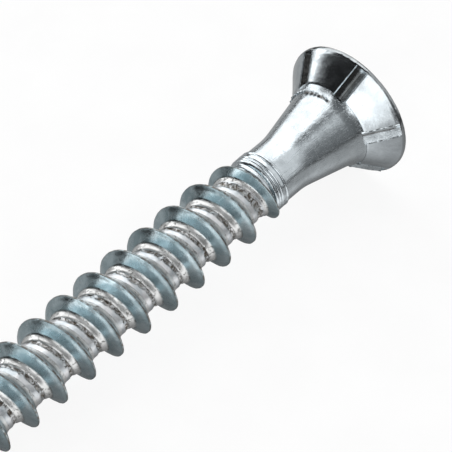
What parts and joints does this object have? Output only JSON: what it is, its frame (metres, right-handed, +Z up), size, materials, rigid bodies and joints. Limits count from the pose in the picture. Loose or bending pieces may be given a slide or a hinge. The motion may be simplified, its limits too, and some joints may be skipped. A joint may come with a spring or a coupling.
{
  "type": "countersunk wood screw",
  "caption": "Zinc-plated countersunk wood screw with cutting grooves under the head, a flared smooth neck and a coarse right-hand thread.",
  "frame": {"origin": "the middle of the head's flat top face, on the screw's axis", "axes": "the screw lies on its side: +X along the axis out of the head, towards the driver, with the point at -X; +Z up; +Y across"},
  "size_m": [0.05, 0.0088, 0.0088],
  "materials": {
    "zinc_bright": "bright blue-white zinc plate, smooth and cold-headed, with small nicks",
    "zinc_thread": "bright zinc plate with a blue passivate tint on the rolled flanks",
    "zinc_rolled_root": "bright zinc plate over rough, scaly rolling marks"
  },
  "bodies": {
    "root": {"head": "zinc_bright", "neck": "zinc_bright", "collar": "zinc_bright", "core": "zinc_rolled_root", "thread": "zinc_thread", "point": "zinc_rolled_root", "point_thread": "zinc_thread"}
  },
  "joints": []
}
